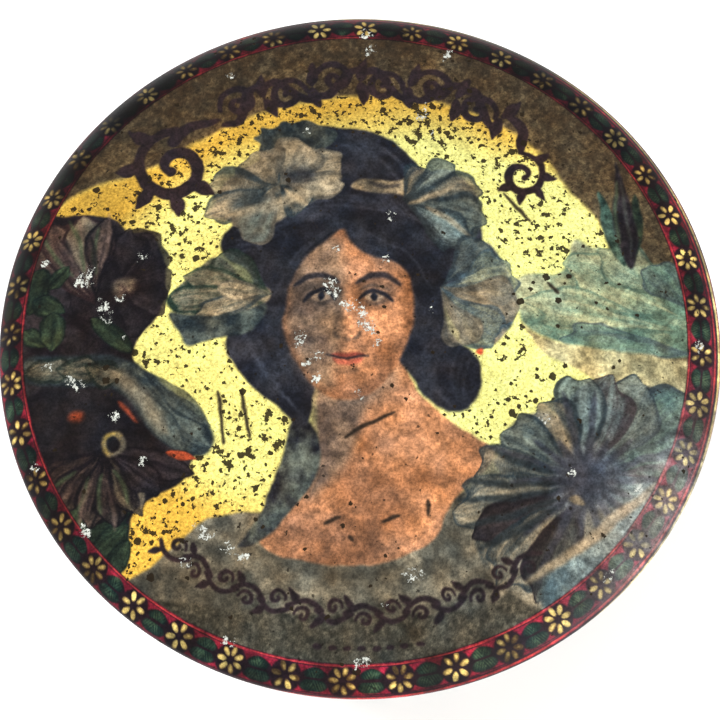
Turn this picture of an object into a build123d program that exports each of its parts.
from build123d import *

import os
from math import cos, degrees, radians, sin, sqrt

# Round slip-lid talcum powder tin with a revolving sifter top.
#
# Millimetres, +Z up. The origin is the centre of the standing ring under the base, on the surface that the
# tin stands on. The picture on the lid reads upright from the -Y side, and the body's side seam is at the
# back, +Y. Everything of tinplate is one gauge of sheet, bent along a section and turned about Z.

# Driving dimensions
SHEET = 0.3
HEIGHT = 36.0
LID_RADIUS = 43.0
LID_FIT = 0.15  # radial, between the lid's rolled edge and the body
PRESSED_GAP = 0.02  # between pieces that are riveted, pressed or soldered together

# Lid: a shallow dome, a sloping shoulder that carries the printed border, a skirt and a rolled edge
DOME_SLOPE = 4.5  # degrees, where the dome meets the shoulder
SHOULDER_RADIUS = 6.0
SHOULDER_SLOPE = 40.0  # degrees, where the shoulder meets the corner
CORNER_RADIUS = 1.0
LID_EDGE_Z = 20.0  # the lowest point of the lid's rolled edge
ROLL_RADIUS = 0.6
ROLL_TURN = 262.0

# Card disc pushed up inside the lid
LINER_RADIUS = 41.1
LINER_THICKNESS = 0.8
LINER_TOP_Z = 33.55

# Body: a rolled strip with a lapped side seam and an inward false wire at the mouth
BODY_RADIUS = LID_RADIUS - 2 * ROLL_RADIUS - LID_FIT
BODY_FOOT_Z = 0.45
MOUTH_Z = 32.5
MOUTH_ROLL_RADIUS = 0.7
SEAM_ANGLE = 90.0
LAP_WIDTH = 4.0
LAP_FOOT_Z = 3.0
LAP_TOP_Z = 25.0
SEAM_LINE = 0.15  # width of the seam's line outside, and twice its depth

# Base cap: a raised panel inside a standing ring, turned up round the body
CAP_PANEL_Z = 1.0
CAP_PANEL_RADIUS = 36.0
CAP_STEP_RADIUS = CAP_PANEL_Z / 2
CAP_CORNER_RADIUS = 0.5
CAP_HEIGHT = 2.6
CAP_GAP = 0.05
SOLDER_FILLET = 0.32

# Window plate: a dish pressed into the mouth, held under the body's rolled edge
PLATE_Z = 26.0
PLATE_CORNER_RADIUS = 1.7
PLATE_GAP = 0.05
PLATE_EDGE_Z = 30.9

# Windows in the plate, each an annular sector, and the groups of sprinkling holes in the disc over it
GROUPS = 4
WINDOW_INNER = 8.0
WINDOW_OUTER = 28.5
WINDOW_SPREAD = 41.0  # degrees
WINDOW_FILLET = 1.5
HOLE_RADIUS = 0.9
HOLE_CIRCLES = (10.5, 14.5, 18.5, 22.5, 26.5)  # one hole on the first, two on the second and so on
HOLE_PITCH = 4.0
OPEN_TURN = 180.0 / GROUPS  # from shut, with the holes between the windows, to open

# Sifter disc: it has a turned-up rim, and revolves on the plate about the centre rivet
DISC_RADIUS = 34.0
DISC_CORNER_RADIUS = 0.6
DISC_HEIGHT = 1.4
DISC_GAP = 0.03
PIVOT_CLEARANCE = 0.08

# Centre rivet and its washers
RIVET_RADIUS = 1.5
RIVET_HEAD_RADIUS = 3.6
RIVET_HEAD_HEIGHT = 1.2
RIVET_TAIL_RADIUS = 2.6
RIVET_TAIL_HEIGHT = 0.6
WASHER_RADIUS = 4.6
WASHER_THICKNESS = 0.3

# Stop stud on the plate, in an arc slot of the disc
STOP_CIRCLE = 31.0
STOP_ANGLE = 135.0
STOP_RADIUS = 0.9
STOP_HEAD_RADIUS = 1.9
STOP_HEAD_HEIGHT = 0.8
STOP_TAIL_RADIUS = 1.4
STOP_TAIL_HEIGHT = 0.4
STOP_CLEARANCE = 0.15

# Knob riveted into the disc
KNOB_CIRCLE = 28.0
KNOB_ANGLE = -90.0
KNOB_SHANK_RADIUS = 0.9
KNOB_FOOT_RADIUS = 2.3
KNOB_FOOT_HEIGHT = 0.5
KNOB_WAIST_RADIUS = 1.1
KNOB_WAIST_Z = 1.4
KNOB_BALL_RADIUS = 1.6
KNOB_HEIGHT = 4.0

# Heights that follow from the ones above, from the plate upwards and downwards
PLATE_TOP_Z = PLATE_Z + SHEET
DISC_Z = PLATE_TOP_Z + DISC_GAP
DISC_TOP_Z = DISC_Z + SHEET
SPRING_Z = DISC_TOP_Z + DISC_GAP
RIVET_HEAD_Z = SPRING_Z + WASHER_THICKNESS + PRESSED_GAP
BACKING_Z = PLATE_Z - PRESSED_GAP - WASHER_THICKNESS
RIVET_TAIL_Z = BACKING_Z - PRESSED_GAP

LEFT = 1
RIGHT = -1


def straight(length):
    """One straight move along a sheet's section."""
    return ("straight", length, 0.0)


def bend(radius, turn):
    """One arc of a sheet's section; turn is in degrees, positive to the left."""
    return ("bend", radius, turn)


def section_edges(start, heading, moves, offset):
    """The edges of a smooth path, moved sideways by offset, which is positive to the left."""
    x = start[0] - offset * sin(radians(heading))
    y = start[1] + offset * cos(radians(heading))
    edges = []
    for kind, size, turn in moves:
        tangent = (cos(radians(heading)), sin(radians(heading)))
        if kind == "straight":
            edge = Line((x, y), (x + size * tangent[0], y + size * tangent[1]))
        else:
            radius = size - offset if turn > 0 else size + offset
            edge = JernArc(start=(x, y), tangent=tangent, radius=radius, arc_size=turn)
        edges.append(edge)
        x, y = (edge @ 1).X, (edge @ 1).Y
        heading += turn
    return edges


def turned(face, sweep=360.0):
    """A section in radius and height, turned about Z."""
    return revolve(Plane.XZ * face, axis=Axis.Z, revolution_arc=sweep)


def turned_sheet(start, heading, moves, side):
    """A pressed sheet: its face follows the moves from start, and its thickness is on the given side."""
    face_edges = section_edges(start, heading, moves, 0.0)
    back_edges = section_edges(start, heading, moves, side * SHEET)
    near_end = Line(face_edges[0] @ 0, back_edges[0] @ 0)
    far_end = Line(face_edges[-1] @ 1, back_edges[-1] @ 1)
    return turned(make_face([*face_edges, far_end, *back_edges, near_end]))


def ring(inner, outer, low, high, sweep=360.0):
    """A square-edged ring, disc or sector about Z."""
    corners = [(inner, low), (outer, low), (outer, high), (inner, high)]
    return turned(make_face(Polyline(*corners, close=True)), sweep)


def at(circle, angle, z=0.0):
    """A place on a circle about Z."""
    return Pos(circle * cos(radians(angle)), circle * sin(radians(angle)), z)


def domed_pin(radius, low, high, head_radius, head_height):
    """A pin from low to high with a low domed head above it."""
    sphere = (head_radius**2 + head_height**2) / (2 * head_height)
    half = head_radius / 2
    crown = high + head_height
    shoulder = (half, crown - sphere + sqrt(sphere**2 - half**2))
    side = Polyline((0, crown), (0, low), (radius, low), (radius, high), (head_radius, high))
    dome = ThreePointArc((head_radius, high), shoulder, (0, crown))
    return turned(make_face([side, dome]))


def build_lid():
    """The drawn lid, from its centre outwards and down to the rolled edge."""
    corner_width = CORNER_RADIUS * (1 - sin(radians(SHOULDER_SLOPE)))
    shoulder_width = SHOULDER_RADIUS * (sin(radians(SHOULDER_SLOPE)) - sin(radians(DOME_SLOPE)))
    dome_edge = LID_RADIUS - corner_width - shoulder_width
    dome_radius = dome_edge / sin(radians(DOME_SLOPE))
    dome_drop = dome_radius * (1 - cos(radians(DOME_SLOPE)))
    shoulder_drop = SHOULDER_RADIUS * (cos(radians(DOME_SLOPE)) - cos(radians(SHOULDER_SLOPE)))
    corner_drop = CORNER_RADIUS * cos(radians(SHOULDER_SLOPE))
    skirt = HEIGHT - dome_drop - shoulder_drop - corner_drop - LID_EDGE_Z - ROLL_RADIUS
    moves = [
        bend(dome_radius, -DOME_SLOPE),
        bend(SHOULDER_RADIUS, DOME_SLOPE - SHOULDER_SLOPE),
        bend(CORNER_RADIUS, SHOULDER_SLOPE - 90),
        straight(skirt),
        bend(ROLL_RADIUS, -ROLL_TURN),
    ]
    return turned_sheet((0, HEIGHT), 0, moves, RIGHT)


def build_liner():
    """The card disc that seals the lid over the mouth."""
    return ring(0, LINER_RADIUS, LINER_TOP_Z - LINER_THICKNESS, LINER_TOP_Z)


def build_body():
    """The rolled body, its mouth's false wire, the lap inside and the seam's line outside."""
    wall = MOUTH_Z - MOUTH_ROLL_RADIUS - BODY_FOOT_Z
    moves = [straight(wall), bend(MOUTH_ROLL_RADIUS, ROLL_TURN)]
    tube = turned_sheet((BODY_RADIUS, BODY_FOOT_Z), 90, moves, LEFT)
    inside = BODY_RADIUS - SHEET
    lap_sweep = degrees(LAP_WIDTH / inside)
    lap = ring(inside - SHEET, inside + SHEET / 2, LAP_FOOT_Z, LAP_TOP_Z, lap_sweep)
    line = Pos(BODY_RADIUS, 0, HEIGHT / 2) * Box(SEAM_LINE, SEAM_LINE, HEIGHT)
    return tube + Rot(0, 0, SEAM_ANGLE - lap_sweep) * lap - Rot(0, 0, SEAM_ANGLE) * line


def build_seam_solder():
    """The solder fillet along the lap's free edge, inside the body."""
    inside = BODY_RADIUS - SHEET
    lap_sweep = degrees(LAP_WIDTH / inside)
    size = SHEET - PRESSED_GAP
    top = inside - PRESSED_GAP
    section = make_face(Polyline((top, 0), (top, -size), (top - size, 0), close=True))
    bar = extrude(section, LAP_TOP_Z - LAP_FOOT_Z)
    clear = degrees(PRESSED_GAP * 2 / inside)
    return Rot(0, 0, SEAM_ANGLE - lap_sweep - clear) * Pos(0, 0, LAP_FOOT_Z) * bar


def build_base_cap():
    """The base: its panel, the step down to the standing ring, and the wall round the body."""
    outer = BODY_RADIUS + CAP_GAP + SHEET
    foot = outer - CAP_CORNER_RADIUS - CAP_PANEL_RADIUS - 2 * CAP_STEP_RADIUS
    moves = [
        straight(CAP_PANEL_RADIUS),
        bend(CAP_STEP_RADIUS, -90),
        bend(CAP_STEP_RADIUS, 90),
        straight(foot),
        bend(CAP_CORNER_RADIUS, 90),
        straight(CAP_HEIGHT - CAP_CORNER_RADIUS),
    ]
    return turned_sheet((0, CAP_PANEL_Z), 0, moves, LEFT)


def build_base_solder():
    """The solder fillet all round, between the base cap's edge and the body."""
    inner = BODY_RADIUS + PRESSED_GAP
    low = CAP_HEIGHT + PRESSED_GAP
    corners = [(inner, low), (inner + SOLDER_FILLET, low), (inner, low + SOLDER_FILLET)]
    return turned(make_face(Polyline(*corners, close=True)))


def window(angle):
    """A cutter for one of the plate's windows."""
    half = WINDOW_SPREAD / 2
    side = Line((WINDOW_INNER, 0), (WINDOW_OUTER, 0))
    arcs = [CenterArc((0, 0), radius, -half, WINDOW_SPREAD) for radius in (WINDOW_INNER, WINDOW_OUTER)]
    sector = make_face([*arcs, Rot(0, 0, half) * side, Rot(0, 0, -half) * side])
    sector = fillet(sector.vertices(), WINDOW_FILLET)
    return Rot(0, 0, angle) * Pos(0, 0, PLATE_Z - SHEET) * extrude(sector, 3 * SHEET)


def build_plate():
    """The fixed dish in the body's mouth, with its windows."""
    wall_radius = BODY_RADIUS - SHEET - PLATE_GAP
    moves = [
        straight(wall_radius - PLATE_CORNER_RADIUS),
        bend(PLATE_CORNER_RADIUS, 90),
        straight(PLATE_EDGE_Z - PLATE_Z - PLATE_CORNER_RADIUS),
    ]
    dish = turned_sheet((0, PLATE_Z), 0, moves, LEFT)
    rivet_hole = Pos(0, 0, PLATE_Z) * Cylinder(RIVET_RADIUS + PRESSED_GAP, 4 * SHEET)
    stop_hole = at(STOP_CIRCLE, STOP_ANGLE, PLATE_Z) * Cylinder(STOP_RADIUS + PRESSED_GAP, 4 * SHEET)
    windows = [window(group * 360 / GROUPS) for group in range(GROUPS)]
    return dish - [rivet_hole, stop_hole, *windows]


def sprinkling_holes():
    """Cutters for the disc's holes: each group widens outwards, and lies between two windows."""
    places = []
    for group in range(GROUPS):
        middle = OPEN_TURN + group * 360 / GROUPS
        for row, circle in enumerate(HOLE_CIRCLES):
            pitch = degrees(HOLE_PITCH / circle)
            places += [at(circle, middle + (hole - row / 2) * pitch, DISC_Z) for hole in range(row + 1)]
    return [place * Cylinder(HOLE_RADIUS, 4 * SHEET) for place in places]


def build_disc():
    """The revolving disc, shut: its holes lie halfway between the plate's windows."""
    moves = [
        straight(DISC_RADIUS - DISC_CORNER_RADIUS),
        bend(DISC_CORNER_RADIUS, 90),
        straight(DISC_HEIGHT - DISC_CORNER_RADIUS),
    ]
    disc = turned_sheet((0, DISC_Z), 0, moves, LEFT)
    pivot_hole = Pos(0, 0, DISC_Z) * Cylinder(RIVET_RADIUS + PIVOT_CLEARANCE, 4 * SHEET)
    knob_place = at(KNOB_CIRCLE, KNOB_ANGLE, DISC_Z)
    knob_hole = knob_place * Cylinder(KNOB_SHANK_RADIUS + PRESSED_GAP, 4 * SHEET)
    slack = degrees(STOP_CLEARANCE / STOP_CIRCLE)
    slot_start = STOP_ANGLE - OPEN_TURN - slack
    slot_line = CenterArc((0, 0), STOP_CIRCLE, slot_start, OPEN_TURN + 2 * slack)
    slot = SlotArc(slot_line, 2 * (STOP_RADIUS + STOP_CLEARANCE))
    slot_cutter = Pos(0, 0, DISC_Z - SHEET) * extrude(slot, 3 * SHEET)
    return disc - [pivot_hole, knob_hole, slot_cutter, *sprinkling_holes()]


def build_rivet():
    """The centre rivet, with its head over the spring washer and its tail under the backing washer."""
    pin = domed_pin(RIVET_RADIUS, RIVET_TAIL_Z, RIVET_HEAD_Z, RIVET_HEAD_RADIUS, RIVET_HEAD_HEIGHT)
    return pin + ring(0, RIVET_TAIL_RADIUS, RIVET_TAIL_Z - RIVET_TAIL_HEIGHT, RIVET_TAIL_Z)


def build_washer(low):
    """A flat washer round the centre rivet."""
    return ring(RIVET_RADIUS + PRESSED_GAP, WASHER_RADIUS, low, low + WASHER_THICKNESS)


def build_stop_stud():
    """The stud that stops the disc at each end of its slot."""
    head_z = DISC_TOP_Z + STOP_CLEARANCE
    tail_z = PLATE_Z - PRESSED_GAP
    pin = domed_pin(STOP_RADIUS, tail_z, head_z, STOP_HEAD_RADIUS, STOP_HEAD_HEIGHT)
    tail = ring(0, STOP_TAIL_RADIUS, tail_z - STOP_TAIL_HEIGHT, tail_z)
    return at(STOP_CIRCLE, STOP_ANGLE) * (pin + tail)


def build_knob():
    """The turned knob: a flush shank, a foot on the disc, a waist and a ball."""
    foot_z = DISC_TOP_Z + PRESSED_GAP
    waist_z = foot_z + KNOB_WAIST_Z
    top_z = foot_z + KNOB_HEIGHT
    ball_z = top_z - KNOB_BALL_RADIUS
    neck_z = ball_z - sqrt(KNOB_BALL_RADIUS**2 - KNOB_WAIST_RADIUS**2)
    foot_top = (KNOB_FOOT_RADIUS, foot_z + KNOB_FOOT_HEIGHT)
    stem = Polyline(
        (0, top_z),
        (0, DISC_Z),
        (KNOB_SHANK_RADIUS, DISC_Z),
        (KNOB_SHANK_RADIUS, foot_z),
        (KNOB_FOOT_RADIUS, foot_z),
        foot_top,
        (KNOB_WAIST_RADIUS, waist_z),
        (KNOB_WAIST_RADIUS, neck_z),
    )
    ball = ThreePointArc((KNOB_WAIST_RADIUS, neck_z), (KNOB_BALL_RADIUS, ball_z), (0, top_z))
    return at(KNOB_CIRCLE, KNOB_ANGLE) * turned(make_face([stem, ball]))


def main():
    parts = {
        "lid_shell": build_lid(),
        "lid_liner": build_liner(),
        "body_shell": build_body(),
        "side_seam_solder": build_seam_solder(),
        "base_cap": build_base_cap(),
        "base_solder": build_base_solder(),
        "window_plate": build_plate(),
        "sifter_disc": build_disc(),
        "disc_knob": build_knob(),
        "center_rivet": build_rivet(),
        "spring_washer": build_washer(SPRING_Z),
        "backing_washer": build_washer(BACKING_Z),
        "stop_stud": build_stop_stud(),
    }
    os.makedirs("parts", exist_ok=True)
    for name, shape in parts.items():
        export_step(shape, f"parts/{name}.step")


main()
